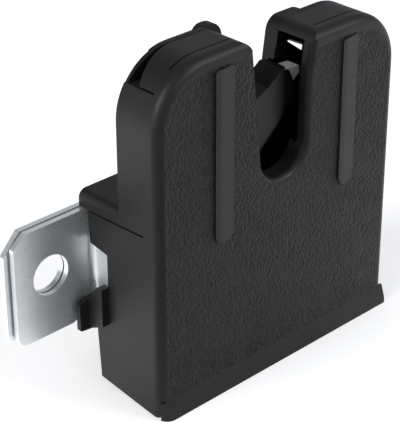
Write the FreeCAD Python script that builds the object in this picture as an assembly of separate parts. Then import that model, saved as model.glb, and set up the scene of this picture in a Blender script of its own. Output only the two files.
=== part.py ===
import FreeCAD, Part
import math
import os

# Tailgate lock with a rotary claw, a pawl and a motor release.
# X runs along the grained front face, Y from that face to the back, Z up.
# Depths are measured from the front face; the finished pieces then move so that the frame's origin
# is in the middle of the whole depth, level with the foot. All sizes are in millimetres.

# Front cover: outer form
body_width = 84.2
left_tower_height = 94.8
right_tower_height = 89.8
shoulder_radius = 16.0
foot_corner_radius = 0.5
least_corner = 0.2
edge_round = 2.6
wall = 2.2
tower_depth = 14.3
tower_parting = 12.2
shoulder_parting = 9.2
shelf_height = 55.0
shelf_depth = 29.3
shelf_round = 2.2
side_depth_top = 26.2
side_depth_foot = 22.9
foot_rise = 2.7
lip_height = 5.1
lip_reach = 1.7
lip_left_round = 3.0
lip_right_round = 0.8
lip_left_margin = 0.1
lip_right_margin = 0.2
lip_root = 0.5

# Striker slot between the two towers
slot_cut_over = 10.0
slot_centre = 0.8
slot_width = 15.8
slot_floor = 54.3
slot_lean = 4.3
slot_left_corner = 4.5
slot_right_corner = 4.0
slot_right_lean = 1.9
slot_bend_height = 77.0
slot_bend_round = 8.0
slot_round = 1.6
slot_lip_depth = 5.6
window_front = 3.2
window_height = 7.7
window_head_drop = 2.4

# Grained front: raised ribs
rib_height = 0.6
rib_foot = 44.0
rib_top_margin = 4.3
left_rib_edge = -23.8
left_rib_width = 6.6
right_rib_edge = 20.8
right_rib_width = 6.0
rib_end_round = 2.8
rib_top_round = 0.8
rib_flat_share = 0.25
rib_faded_height = 0.1

# Slits and openings in the towers and the sides
groove_front = 4.1
groove_width = 0.45
groove_deep = 0.8
groove_reach = 34.0
groove_drop = 9.8
tongue_slit_drop = 6.8
tongue_slit_width = 0.45
side_slit_height = 51.5
side_slit_drop = 0.8
side_slit_front = 5.5
side_slit_width = 0.55
notch_front = 19.2
notch_foot = 27.0
notch_top = 40.5
notch_rise = 1.2
hook_front = 19.3
hook_back = 26.2
hook_foot = 16.9
hook_slant = 3.3
hook_top = 31.0
hook_fall_depth = 21.3
hook_back_top = 24.5
hook_proud = 2.1
hook_finger = 2.7
hook_finger_top = 26.4
hook_tip_top = 25.2
hook_tip_foot = 17.5
hook_thick = 1.4
hook_root = 0.5
hook_round = 0.4

# Clearances between pieces
gap = 0.3
seat = 0.2
parting_gap = 0.25
tiny = 0.01
past = 1.0
through = 60.0
running_fit = 0.05

# Latch housing, a frame between the cover and the steel plate
rim_width = 3.5
collar_width = 5.0
collar_foot_width = 3.0
collar_back = 16.5
buffer_thick = 3.0
shoulder_opening_back = 13.7
shoulder_opening_reach = 25.0
shoulder_lip_reach = 31.5
shoulder_lip_recess = 0.3
cheek_reach = 24.0
cheek_foot = 45.0
cheek_round = 5.0
cheek_overlap = 1.2
side_band = 8.0
housing_foot = 57.0
claw_room_left = 8.0
claw_room_right = 3.0
claw_room_foot = 40.0
claw_room_over = 2.0
window_reach = 4.0
window_foot = 60.0
collar_corner = 3.0
cheek_inset = 3.5
cheek_foot_round = 2.0
drain_front = 15.0
drain_margin = 1.5
drain_length = 5.2
drain_fall = 2.8
drain_width = 1.8
drain_slant = 0.3
drain_top_drop = 7.8
drain_turn = 43.65
drain_dip = 28.9
collar_lean = 0.4
claw_room_far = 9.0
claw_room_top = 4.0
claw_room_slot = 4.0
claw_swing = 16.0

# Steel plates
sheet = 1.5
plate_margin = 5.4
plate_top = 52.4
plate_foot = 3.2
flange_half = 39.6
ear_front = 27.5
ear_reach = 64.5
ear_top = 50.3
ear_foot = 19.1
ear_chamfer_x = 4.0
ear_chamfer_z = 3.2
ear_round = 3.0
bend_inner = 2.1
bolt_spacing = 106.8
bolt_height = 36.0
bolt_hole_radius = 5.5
back_plate_gap = 0.6
back_plate_reach = 66.0
back_plate_chamfer_x = 5.2
back_plate_chamfer_z = 5.6
back_plate_bridge = 5.8

# Claw: the pivot, and the open claw's outline measured along and across its lower prong
claw_x = -24.0
claw_z = 64.0
claw_front = 6.0
claw_thick = 8.0
claw_steel = 4.0
claw_hub_radius = 9.5
claw_pin_radius = 4.0
claw_tilt = 23.5
prong_floor = 1.8
prong_kink = 27.7
prong_tip_x = 8.0
prong_tip_z = 79.7
prong_top_x = 5.6
prong_top_z = 80.2
prong_side_x = 8.8
prong_side_z = 66.8
prong_side_round = 9.0
prong_end_x = 0.2
prong_end_z = 59.6
nose_x = 13.8
nose_z = 78.2
nose_depth = 3.8
needle_foot = 69.5
skirt_front = 7.2
mouth_width = 10.0
mouth_end = 18.4
hook_tip = 25.0
hook_across = 17.5
lobe_radius = 14.5
lobe_start = 211.0
lobe_end = 266.0
claw_edge_round = 2.6

# Room in the cover for the drive housing and for the lever's tab
drive_room_front = 0.8
tab_room_left = 8.0
tab_room_right = 9.6
tab_room_back = 1.2

# Pawl and release lever, both on one pivot
pawl_x = -21.8
pawl_z = 42.0
pawl_thick = 4.0
pawl_hub_radius = 5.5
pawl_pin_radius = 3.0
pawl_nose_angle = 228.0
pawl_nose_width = 5.0
pawl_neck = 3.0
pawl_tail_x = 12.0
pawl_tail_z = 34.8
pawl_tail_width = 4.5
lever_pin_radius = 2.5
lever_thick = 1.8
lever_hub_radius = 5.5
lever_arm_width = 5.0
lever_tab_x = -15.6
lever_tab_z = 57.5
lever_tab_half = 2.5
lever_tab_hole = 1.2
lever_follower_radius = 1.5
finger_x = -8.0
finger_width = 3.0
finger_thick = 2.0
finger_gap = 0.7
follower_gap = 0.4
strap_front = 3.0
strap_half_width = 6.0
rivet_head = 0.6

# Torsion springs on the pivots
claw_spring_play = 1.6
claw_spring_wire = 0.9
pawl_spring_play = 1.4
pawl_spring_wire = 0.8
spring_turns = 2
spring_leg = 9.0
spring_leg_slim = 0.02
spring_pitch = 0.85

# Drive: motor, worm, worm wheel and cam
drive_front = 19.2
drive_half_width = 34.0
drive_height = 43.5
drive_wall = 1.8
drive_floor = 1.6
drive_back = 36.4
drive_lid = 1.8
drive_spigot = 0.5
drive_corner = 3.0
drive_step_x = -26.5
drive_step_low = 19.0
drive_step_high = 25.0
wheel_x = 12.0
wheel_z = 27.0
wheel_mid = 28.6
wheel_teeth = 26
tooth_module = 1.0
wheel_width = 5.0
wheel_shaft_radius = 2.0
worm_pitch_radius = 3.2
worm_length = 17.0
bearing_gap = 2.0
bearing_hold = 4.5
bearing_half = 3.0
worm_backlash = 0.5
worm_phase = 45.0
tooth_tip_share = 0.1
tooth_root_share = 0.34
cam_radius = 5.0
cam_rise = 3.5
cam_turn = 120.0
cam_width = 4.2
motor_radius = 8.8
motor_flat = 7.5
motor_front = -0.6
motor_back = -22.0
motor_cap_length = 2.5
motor_cap_floor = 1.0
motor_cap_step = 0.3
motor_nose_radius = 3.0
motor_nose_length = 1.5
saddle_inset = 4.0
saddle_half = 0.8
motor_shaft_radius = 1.0
socket_x = 19.6
socket_z = 32.0
socket_half_width = 9.0
socket_half_height = 6.5
socket_depth = 8.0
socket_wall = 1.5
pin_side = 0.8
pin_pitch = 4.0
strip_thick = 0.5
strip_width = 1.8
strip_leg = 0.8

# Microswitch under the pawl's tail
switch_x = 8.0
switch_width = 12.8
switch_height = 6.5
switch_top = 31.2
switch_depth = 5.8
plunger_width = 2.0
plunger_proud = 1.6
plunger_travel = 0.8

# Screws and stakes
stake_radius = 1.5
stake_head_radius = 2.5
stake_head_height = 0.8
boss_radius = 3.0
screw_radius = 1.5
screw_head_radius = 2.8
screw_head_height = 1.6
lid_screw_inset = 3.4
lid_screw_low = 4.6
lid_screw_middle = -1.0
plate_screw_radius = 1.0
plate_screw_head = 1.8

half = body_width / 2
tongue_slit_height = left_tower_height - tongue_slit_drop
tallest = max(left_tower_height, right_tower_height)
window_head = right_tower_height - window_head_drop
window_sill = window_head - window_height
web_front = tower_depth
web_back = web_front + sheet
claw_back = claw_front + claw_thick
core_front = claw_front + (claw_thick - claw_steel) / 2
core_back = core_front + claw_steel
pawl_front = core_front
pawl_back = pawl_front + pawl_thick
lever_front = web_back + 0.4
lever_back = lever_front + lever_thick
ear_back = ear_front + sheet
back_plate_front = ear_back + back_plate_gap
back_plate_back = back_plate_front + sheet
wheel_radius = wheel_teeth * tooth_module / 2
worm_z = wheel_z - wheel_radius - worm_pitch_radius
bearing_left = wheel_x + worm_length / 2 + bearing_gap
motor_y = wheel_mid
frame_middle = (drive_back + drive_lid + socket_depth - lip_reach) / 2


def point(x, y, z):
    return FreeCAD.Vector(x, y, z)


def rounded_wire(corners, y):
    """Closed outline in the plane at depth y, from corners given as (x, z, radius)."""
    edges = []
    ends = []
    count = len(corners)
    for i in range(count):
        x, z, r = corners[i]
        here = point(x, y, z)
        before = point(corners[i - 1][0], y, corners[i - 1][1]) - here
        after = point(corners[(i + 1) % count][0], y, corners[(i + 1) % count][1]) - here
        before.normalize()
        after.normalize()
        if r <= 0:
            ends.append((here, here))
            continue
        opening = before.getAngle(after)
        run = r / math.tan(opening / 2)
        middle = before + after
        middle.normalize()
        centre = here + middle * (r / math.sin(opening / 2))
        start = here + before * run
        stop = here + after * run
        edges.append((i, Part.Arc(start, centre - middle * r, stop).toShape()))
        ends.append((start, stop))
    arcs = dict(edges)
    chain = []
    for i in range(count):
        if i in arcs:
            chain.append(arcs[i])
        start = ends[i][1]
        stop = ends[(i + 1) % count][0]
        if start.distanceToPoint(stop) > 1e-6:
            chain.append(Part.makeLine(start, stop))
    return Part.Wire(chain)


def prism(wire, depth):
    """Solid made by pushing an outline back along Y."""
    return Part.Face(wire).extrude(point(0, depth, 0))


def plate(corners, front, back):
    return prism(rounded_wire(corners, front), back - front)


def block(x0, x1, y0, y1, z0, z1):
    return Part.makeBox(x1 - x0, y1 - y0, z1 - z0, point(x0, y0, z0))


def rod(x, z, radius, front, back):
    """Round bar along Y."""
    return Part.makeCylinder(radius, back - front, point(x, front, z), point(0, 1, 0))


def rod_along_x(y, z, radius, left, right):
    return Part.makeCylinder(radius, right - left, point(left, y, z), point(1, 0, 0))


def side_profile(corners, left, right):
    """Solid from an outline of (y, z) corners, pushed along X."""
    points = [point(left, y, z) for y, z in corners]
    wire = Part.makePolygon(points + [points[0]])
    return Part.Face(wire).extrude(point(right - left, 0, 0))


def body_corners(inset):
    """Front outline with the striker slot, moved inwards by an inset."""
    left_edge = slot_centre - slot_width / 2 - inset
    right_edge = slot_centre + slot_width / 2 + inset
    floor = slot_floor - inset
    floor_round = slot_width / 2 + inset - tiny
    outer = half - inset
    return [
        (-outer, inset, max(foot_corner_radius - inset, least_corner)),
        (-outer, left_tower_height - inset, shoulder_radius - inset),
        (left_edge - slot_lean, left_tower_height - inset, max(slot_left_corner - inset, least_corner)),
        (left_edge, floor, floor_round),
        (right_edge, floor, floor_round),
        (right_edge, slot_bend_height, slot_bend_round),
        (right_edge + slot_right_lean, right_tower_height - inset, max(slot_right_corner - inset, least_corner)),
        (outer, right_tower_height - inset, shoulder_radius - inset),
        (outer, inset, max(foot_corner_radius - inset, least_corner)),
    ]


def slot_corners(grow, side_grow):
    """Outline that cuts the slot: its foot and right side grow, its left edge stays sharp."""
    left_edge = slot_centre - slot_width / 2
    right_edge = slot_centre + slot_width / 2 + side_grow
    floor = slot_floor - grow
    floor_round = slot_width / 2 + side_grow / 2 - tiny
    above = tallest + slot_cut_over
    lean_above = slot_lean * (above - floor) / (left_tower_height - slot_floor)
    right_above = slot_right_lean * (above - slot_bend_height) / (right_tower_height - slot_bend_height)
    return [
        (left_edge - lean_above, above, 0),
        (left_edge, floor, floor_round),
        (right_edge, floor, floor_round),
        (right_edge, slot_bend_height, slot_bend_round),
        (right_edge + right_above, above, 0),
    ]


def slot_lead_in():
    """Rounded mouth of the slot in the front wall, built from a few ruled bands."""
    bands = 4
    cutter = None
    for i in range(bands):
        turn0 = math.pi / 2 * i / bands
        turn1 = math.pi / 2 * (i + 1) / bands
        grow0 = slot_round * (1 - math.sin(turn0))
        grow1 = slot_round * (1 - math.sin(turn1))
        depth0 = slot_round * (1 - math.cos(turn0))
        depth1 = slot_round * (1 - math.cos(turn1))
        near = rounded_wire(slot_corners(grow0, grow0), depth0)
        far = rounded_wire(slot_corners(grow1, grow1), depth1)
        band = Part.makeLoft([near, far], True, True)
        cutter = band if cutter is None else cutter.fuse(band)
    return cutter


def block_corners(inset):
    """Outline of the low rear part of the cover, with its rounded shelf."""
    outer = half - inset
    return [
        (-outer, inset, max(foot_corner_radius - inset, least_corner)),
        (-outer, shelf_height - inset, shelf_round - inset / 2),
        (outer, shelf_height - inset, shelf_round - inset / 2),
        (outer, inset, max(foot_corner_radius - inset, least_corner)),
    ]


def solid_front():
    """Front part of the cover without its slot, so that its outer edge can be rounded alone."""
    corners = [
        (-half, 0, foot_corner_radius),
        (-half, left_tower_height, shoulder_radius),
        (slot_centre, left_tower_height, 0),
        (slot_centre, right_tower_height, 0),
        (half, right_tower_height, shoulder_radius),
        (half, 0, foot_corner_radius),
    ]
    front = plate(corners, 0, tower_depth)
    rounded = []
    for edge in front.Edges:
        box = edge.BoundBox
        if box.YMax < 0.001 and box.ZMax > 1.0 and box.XLength + box.ZLength > 1.0:
            if abs(box.XMin - slot_centre) > 0.01 or abs(box.XMax - slot_centre) > 0.01:
                rounded.append(edge)
    return front.makeFillet(edge_round, rounded)


def slot_prism(front, back):
    """Cutter for the slot, with its upper corners flared into the tower tops."""
    left_edge = slot_centre - slot_width / 2
    right_edge = slot_centre + slot_width / 2
    above = tallest + slot_cut_over
    outline = [
        (-half, above, 0),
        (-half, left_tower_height, 0),
        (left_edge - slot_lean, left_tower_height, slot_left_corner),
        (left_edge, slot_floor, slot_width / 2 - tiny),
        (right_edge, slot_floor, slot_width / 2 - tiny),
        (right_edge, slot_bend_height, slot_bend_round),
        (right_edge + slot_right_lean, right_tower_height, slot_right_corner),
        (half, right_tower_height, 0),
        (half, above, 0),
    ]
    return plate(outline, front, back)


def ribs():
    """Two raised pads on the front face, each proud at its left and flush at its right."""
    pads = []
    sides = [
        (left_rib_edge, left_rib_width, left_tower_height),
        (right_rib_edge, right_rib_width, right_tower_height),
    ]
    for left, width, top in sides:
        right = left + width
        outline = [
            (left, rib_foot, rib_end_round),
            (right, rib_foot, rib_end_round),
            (right, top - rib_top_margin, rib_top_round),
            (left, top - rib_top_margin, rib_top_round),
        ]
        pad = plate(outline, -rib_height, wall / 2)
        wedge_points = [
            point(left - past, wall / 2, 0),
            point(left - past, -rib_height, 0),
            point(left + width * rib_flat_share, -rib_height, 0),
            point(right, -rib_faded_height, 0),
            point(right + past, wall / 2, 0),
        ]
        wedge_wire = Part.makePolygon(wedge_points + [wedge_points[0]])
        wedge = Part.Face(wedge_wire).extrude(point(0, 0, left_tower_height))
        pads.append(pad.common(wedge))
    return pads


def contour_band(front, back, deep):
    """Thin skin that follows the outer outline of the towers."""
    outer = plate(body_corners(-past), front, back)
    inner = plate(body_corners(deep), front - past, back + past)
    return outer.cut(inner)


def slit_level(depth):
    """Height of the side slit's upper edge, which falls slightly towards the back."""
    return side_slit_height - side_slit_drop * (depth - side_slit_front) / (side_depth_top - side_slit_front)


def front_cover():
    lower = plate(block_corners(0), tower_depth, shelf_depth)
    shell = solid_front().fuse(lower).removeSplitter()
    shell = shell.cut(slot_prism(-past, shelf_depth))
    shell = shell.cut(slot_lead_in())
    side = [
        (-lip_reach - past, tallest + past),
        (tower_depth, tallest + past),
        (shelf_depth, shelf_height + past),
        (shelf_depth, slit_level(shelf_depth)),
        (side_depth_top, slit_level(side_depth_top)),
        (side_depth_foot, foot_rise),
        (0, 0),
        (-lip_reach - past, 0),
    ]
    shell = shell.common(side_profile(side, -half - past, half + past))
    cavity = plate(body_corners(wall), wall, tower_depth + tiny)
    cavity = cavity.fuse(plate(block_corners(wall), tower_depth - wall / 4, shelf_depth + past))
    shell = shell.cut(cavity)
    shell = shell.cut(cover_openings())
    shell = shell.fuse([foot_lip()] + ribs() + bosses() + side_hooks())
    return shell.removeSplitter()


def foot_lip():
    """Wedge along the foot of the front face, rounded where it meets the left side."""
    wedge = side_profile([(lip_root, 0), (lip_root, lip_height), (0, lip_height), (-lip_reach, 0)], -half, half)
    left_face = -half + lip_left_margin
    right_face = half - lip_right_margin
    outline = [
        (left_face, -lip_reach, lip_left_round),
        (right_face, -lip_reach, lip_right_round),
        (right_face, wall, 0),
        (left_face, wall, 0),
    ]
    plan = prism(rounded_wire(outline, 0), -lip_height)
    plan.rotate(point(0, 0, 0), point(1, 0, 0), -90)
    return wedge.common(plan)


def cover_openings():
    """Everything cut from the cover's shell: claw windows, slits, grooves and side notches."""
    left_edge = slot_centre - slot_width / 2
    right_edge = slot_centre + slot_width / 2
    top = tallest + past
    right_line = right_tower_height - tongue_slit_drop
    room_left = left_edge - claw_room_left
    room_right = right_edge + wall + claw_room_right
    back = tower_depth + past
    cuts = [
        block(-half - past, half + past, tower_parting, back, tongue_slit_height, top),
        block(slot_centre, half + past, tower_parting, back, right_line, top),
        block(room_left, room_right, slot_lip_depth, back, claw_room_foot, window_sill),
        block(room_left, left_edge + past, slot_lip_depth, back, claw_room_foot, tongue_slit_height + claw_room_over),
        block(right_edge - past / 2, right_edge + wall + window_reach, window_front, back, window_foot, window_head),
        block(-half - past, -half + side_band, groove_front, tower_depth, tongue_slit_height,
              tongue_slit_height + tongue_slit_width),
        shoulder_wedge(),
    ]
    groove = contour_band(groove_front, groove_front + groove_width, groove_deep)
    groove_low = right_tower_height - groove_drop
    cuts.append(groove.common(block(-groove_reach, slot_centre, 0, tower_depth, groove_low, top)))
    groove_start = right_edge + slot_right_lean + slot_right_corner
    cuts.append(groove.common(block(groove_start, groove_reach, 0, tower_depth, groove_low, top)))
    slit = [
        (side_slit_front, slit_level(side_slit_front)), (shelf_depth + past, slit_level(shelf_depth + past)),
        (shelf_depth + past, slit_level(shelf_depth + past) - side_slit_width),
        (side_slit_front, slit_level(side_slit_front) - side_slit_width),
    ]
    notch = [
        (notch_front, notch_foot), (notch_front, notch_top),
        (shelf_depth, notch_top + notch_rise * (shelf_depth - notch_front) / (side_depth_top - notch_front)),
        (shelf_depth, notch_foot),
    ]
    for side in (-1, 1):
        outside = side * (half + past)
        inside = side * (half - wall - past)
        cuts.append(side_profile(slit, min(inside, outside), max(inside, outside)))
        cuts.append(side_profile(notch, min(inside, outside), max(inside, outside)))
    drive_room = drive_half_width + gap + seat
    cuts.append(block(-drive_room, drive_room, drive_front - drive_room_front, shelf_depth, -past, wall + past))
    low = shelf_height - wall - past
    high = shelf_height + past
    web_room = half - plate_margin + gap
    cuts.append(block(-web_room, web_room, web_front, collar_back + gap, low, high))
    cuts.append(block(pawl_x - tab_room_left, pawl_x + tab_room_right, web_back, lever_back + tab_room_back, low, high))
    return cuts[0].fuse(cuts[1:])


def shoulder_wedge():
    """Opening along the left shoulder, wide at the slit and closing towards the tower's top."""
    top = left_tower_height
    wedge = [
        (shoulder_parting, tongue_slit_height), (tower_parting, top),
        (tower_depth + past, top), (tower_depth + past, tongue_slit_height),
    ]
    return side_profile(wedge, -half - past, -shoulder_opening_reach)


def stake_places():
    return [(-34.5, 10.0), (34.5, 10.0), (34.5, 46.0), (-35.0, 34.0)]


def bosses():
    """Bosses that seat on the steel plate, each with a heat-staked peg through it."""
    made = []
    for x, z in stake_places():
        made.append(rod(x, z, boss_radius, wall / 2, web_front))
        made.append(rod(x, z, stake_radius, wall, web_back))
        made.append(rod(x, z, stake_head_radius, web_back, web_back + stake_head_height))
    return made


def side_hooks():
    """Cable hook beside each steel flange: a slanted pad with a finger turned outwards."""
    made = []
    for side in (-1, 1):
        inner = side * (half - hook_root)
        face = side * (half + hook_proud)
        tip = side * (half + hook_proud + hook_finger)
        pad = [
            (hook_back, hook_foot), (hook_back, hook_back_top), (hook_fall_depth, hook_top),
            (hook_front, hook_top), (hook_front, hook_foot + hook_slant),
        ]
        made.append(side_profile(pad, min(inner, face), max(inner, face)))
        finger = [
            (inner, hook_foot, 0), (tip, hook_tip_foot, hook_round), (tip, hook_tip_top, hook_round),
            (face, hook_finger_top, 0), (inner, hook_finger_top, 0),
        ]
        made.append(plate(finger, hook_back - hook_thick, hook_back))
    return made


def latch_housing():
    """Frame behind the cover: it closes the tower tops and lines the slot at the back."""
    front = tower_parting + parting_gap
    back = web_front
    above = tallest + past
    right_line = right_tower_height - tongue_slit_drop
    outer_top = plate(body_corners(0), front, back)
    left_top = outer_top.common(block(-half, slot_centre, 0, through, tongue_slit_height, above))
    flush_top = plate(body_corners(0), tower_parting, back)
    right_top = flush_top.common(block(slot_centre, half, 0, through, right_line, above))
    right_wall = outer_top.common(block(slot_centre, cheek_reach, 0, through, window_sill, above))
    inner = plate(body_corners(wall + seat), front, back)
    inner = inner.common(block(-half, half, 0, through, housing_foot, above))
    frame = left_top.fuse([right_top, inner, right_wall])
    frame = frame.cut(plate(body_corners(wall + rim_width), 0, back + past))
    slim = plate(body_corners(wall), 0, back)
    slim_reach = cheek_reach - cheek_overlap
    frame = frame.cut(slim.common(block(slot_centre, slim_reach, 0, through, window_sill, right_tower_height - wall)))
    frame = frame.cut(claw_room()).cut(shoulder_room())
    return frame.fuse(collar()).removeSplitter().cut(buffer_ring(0)).cut(drain_slot())


def claw_room():
    """Room in the housing for the claw and its swing."""
    left_edge = slot_centre - slot_width / 2
    right_edge = slot_centre + slot_width / 2
    low = block(left_edge - claw_room_left, right_edge + claw_room_far, 0, web_front, claw_room_foot, window_sill)
    tall_top = tongue_slit_height + claw_room_top
    return low.fuse(block(left_edge - claw_swing, left_edge + claw_room_slot, 0, web_front, claw_room_foot, tall_top))


def shoulder_room():
    """Tapered opening behind the left shoulder, and the step where the rim fades out."""
    above = tallest + past
    outline = [
        point(-half - past, 0, 0), point(-half - past, shoulder_opening_back, 0),
        point(-shoulder_opening_reach, tower_parting + parting_gap, 0), point(-shoulder_opening_reach, 0, 0),
    ]
    taper = Part.Face(Part.makePolygon(outline + [outline[0]])).extrude(point(0, 0, above))
    taper = taper.common(block(-half - past, 0, 0, through, tongue_slit_height, above))
    deep = contour_band(0, web_front, wall + rim_width + past).common(taper)
    shallow = contour_band(0, web_front + past, shoulder_lip_recess)
    return deep.fuse(shallow.common(block(-half - past, -shoulder_lip_reach, 0, through, tongue_slit_height, above)))


def collar():
    """Wall round the slot's rear mouth, wide behind the room where the claw swings."""
    left_edge = slot_centre - slot_width / 2
    right_edge = slot_centre + slot_width / 2
    above = tallest + slot_cut_over
    left_wall = plate([
        (left_edge - collar_foot_width, cheek_foot, 0),
        (left_edge - slot_lean - collar_width, left_tower_height, collar_corner),
        (left_edge - collar_lean, left_tower_height, slot_left_corner), (left_edge, cheek_foot, 0),
    ], web_front, collar_back)
    slot = plate([
        (left_edge - collar_lean, above, 0), (left_edge, slot_floor, slot_width / 2 - tiny),
        (right_edge, slot_floor, slot_width / 2 - tiny), (right_edge, slot_bend_height, slot_bend_round),
        (right_edge + slot_right_lean, right_tower_height, slot_right_corner),
        (half, right_tower_height, 0), (half, above, 0),
    ], 0, collar_back + past)
    return left_wall.fuse(cheek(0)).cut(slot).removeSplitter()


def cheek(clear):
    """Wide part of the collar, under the slot and in the right tower."""
    left = slot_centre - slot_width / 2 - collar_width + cheek_inset - clear
    right = cheek_reach + clear
    foot = cheek_foot - clear
    return plate([
        (left, foot, cheek_foot_round), (left, slot_floor + slot_width / 2, 0), (slot_centre, right_tower_height, 0),
        (right, right_tower_height, cheek_round), (right, foot, cheek_foot_round),
    ], web_front, collar_back)


def drain_slot():
    """Narrow slot through the cheek, which falls towards the back and to the right."""
    right = cheek_reach - drain_margin
    left = right - drain_length
    top = right_tower_height - drain_top_drop
    outline = [
        (left, top, 0), (right, top - drain_fall, 0),
        (right - drain_slant, top - drain_fall - drain_width, 0), (left - drain_width / 2, top - drain_slant, 0),
    ]
    face = Part.Face(rounded_wire(outline, drain_front))
    turn = math.radians(drain_turn)
    dip = math.radians(drain_dip)
    along = point(math.sin(turn) * math.cos(dip), math.cos(turn) * math.cos(dip), -math.sin(dip))
    face.translate(along * -collar_width)
    return face.extrude(along * 2 * collar_width)


def buffer_ring(clear):
    """Crescent at the foot of the slot, behind the claw."""
    radius = slot_width / 2
    middle = slot_floor + radius
    ring = rod(slot_centre, middle, radius + buffer_thick + clear, web_front - 0.1, collar_back + 0.1)
    ring = ring.cut(rod(slot_centre, middle, radius, web_front - 1, collar_back + 1))
    low = middle - 2.0
    return ring.common(block(slot_centre - 30, slot_centre + 30, 0, 30, 0, low))


def slot_buffer():
    ring = buffer_ring(0)
    return ring.common(block(-half, half, web_front, collar_back, 0, left_tower_height))


def ear(side, front, reach, chamfer_x, chamfer_z, top, foot):
    """One mounting ear as a flat sheet, from the flange out to its tip."""
    root = side * (flange_half + bend_inner)
    tip = side * reach
    corners = [
        (root, foot + 2.6, 0),
        (side * (flange_half + bend_inner + 5.0), foot, 2.0),
        (tip, foot, ear_round),
        (tip, top - chamfer_z, 0.6),
        (tip - side * chamfer_x, top, 0.6),
        (root, top, 0),
    ]
    sheet_piece = plate(corners, front, front + sheet)
    hole = rod(side * bolt_spacing / 2, bolt_height, bolt_hole_radius, front - 1, front + sheet + 1)
    return sheet_piece.cut(hole)


def flange_and_bend(side):
    """Side flange of the steel channel and the round bend into its ear."""
    x_out = flange_half
    x_in = flange_half - sheet
    centre_x = flange_half + bend_inner
    centre_y = ear_back - bend_inner - sheet
    height = ear_top - ear_foot
    flange = block(x_in, x_out, web_front, centre_y, ear_foot + 2.6, ear_top)
    bend = Part.makeCylinder(bend_inner + sheet, height - 2.6, point(centre_x, centre_y, ear_foot + 2.6))
    bend = bend.cut(Part.makeCylinder(bend_inner, height, point(centre_x, centre_y, ear_foot)))
    bend = bend.common(block(x_in - 1, centre_x, centre_y, ear_back + 1, 0, 100))
    piece = flange.fuse(bend)
    if side < 0:
        piece = piece.mirror(point(0, 0, 0), point(1, 0, 0))
    return piece


def frame_plate():
    towers = plate(body_corners(plate_margin), web_front, web_back)
    low = plate([
        (-flange_half, plate_foot, 3.0), (-flange_half, plate_top, 4.0),
        (flange_half, plate_top, 4.0), (flange_half, plate_foot, 3.0),
    ], web_front, web_back)
    web = towers.fuse(low).removeSplitter()
    web = web.cut(collar_room())
    for x, z in stake_places():
        web = web.cut(rod(x, z, stake_radius + 0.1, 0, 30))
    for x, z in frame_screw_places():
        web = web.cut(rod(x, z, screw_radius + 0.1, 0, 30))
    web = web.cut(rod(claw_x, claw_z, claw_pin_radius - 1.0, 0, 30))
    web = web.cut(rod(pawl_x, pawl_z, lever_pin_radius, 0, 30))
    web = web.cut(finger_window())
    pieces = []
    for side in (-1, 1):
        pieces.append(flange_and_bend(side))
        pieces.append(ear(side, ear_front, ear_reach, ear_chamfer_x, ear_chamfer_z, ear_top, ear_foot))
    return web.fuse(pieces).removeSplitter()


def collar_room():
    """Slot in the steel plate, with room for the housing's collar and its wide cheek."""
    left_foot = slot_centre - slot_width / 2 - collar_foot_width - gap
    right_edge = slot_centre + slot_width / 2 + collar_width + gap
    above = tallest + slot_cut_over
    lean = collar_width + slot_lean - collar_foot_width
    lean_above = lean * (above - cheek_foot) / (left_tower_height - cheek_foot)
    corners = [
        (left_foot - lean_above, above, 0), (left_foot, cheek_foot - gap, 0),
        (right_edge, cheek_foot - gap, 0), (right_edge, above, 0),
    ]
    around = plate(corners, web_front - past, web_back + past)
    tall = block(slot_centre, cheek_reach + gap, web_front - past, web_back + past, cheek_foot + cheek_foot_round, above)
    return around.fuse([cheek(gap), tall])


def finger_window():
    """Window in the steel plate for the lever's finger."""
    low = finger_height() - finger_thick / 2 - 1.5
    high = finger_height() + finger_thick / 2 + 3.5
    return block(finger_x - finger_width / 2 - 1.5, finger_x + finger_width / 2 + 1.5, 0, 30, low, high)


def finger_height():
    """Height of the lever's finger, just under the pawl's tail."""
    share = (finger_x - pawl_x) / (pawl_tail_x - pawl_x)
    middle = pawl_z + (pawl_tail_z - pawl_z) * share
    return middle - pawl_tail_width / 2 - finger_thick / 2 - finger_gap


def back_plate():
    """Second sheet behind the ears, open round the drive housing."""
    pieces = []
    top = ear_top + 0.1
    for side in (-1, 1):
        pieces.append(ear(side, back_plate_front, back_plate_reach, back_plate_chamfer_x,
                          back_plate_chamfer_z, top, ear_foot + 1.0))
    room = drive_half_width + gap + 0.1
    side_x = flange_half + bend_inner
    bridge = block(-side_x, side_x, back_plate_front, back_plate_back, ear_foot + 3.6, top)
    bridge = bridge.cut(block(-room, room, 0, 60, 0, drive_height + gap))
    body = bridge.fuse(pieces)
    for x, z in plate_screw_places():
        body = body.cut(rod(x, z, plate_screw_radius + 0.1, 0, 60))
    return body.removeSplitter()


def front_strap():
    """Steel strap that holds the front ends of both pivots."""
    link = strap_outline(claw_x, claw_z, pawl_x, pawl_z, strap_half_width)
    strap = link.cut(rod(claw_x, claw_z, claw_pin_radius - 1.0, 0, 30))
    return strap.cut(rod(pawl_x, pawl_z, pawl_pin_radius - 1.0, 0, 30))


def strap_outline(x0, z0, x1, z1, radius):
    bar = slab(x0, z0, x1, z1, radius, radius, strap_front, strap_front + sheet)
    return bar.fuse([
        rod(x0, z0, radius, strap_front, strap_front + sheet),
        rod(x1, z1, radius, strap_front, strap_front + sheet),
    ]).removeSplitter()


def slab(x0, z0, x1, z1, half0, half1, front, back):
    """Tapered bar between two places, given its half widths at both."""
    length = math.hypot(x1 - x0, z1 - z0)
    nx = -(z1 - z0) / length
    nz = (x1 - x0) / length
    corners = [
        (x0 + nx * half0, z0 + nz * half0, 0),
        (x1 + nx * half1, z1 + nz * half1, 0),
        (x1 - nx * half1, z1 - nz * half1, 0),
        (x0 - nx * half0, z0 - nz * half0, 0),
    ]
    return plate(corners, front, back)


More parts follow.
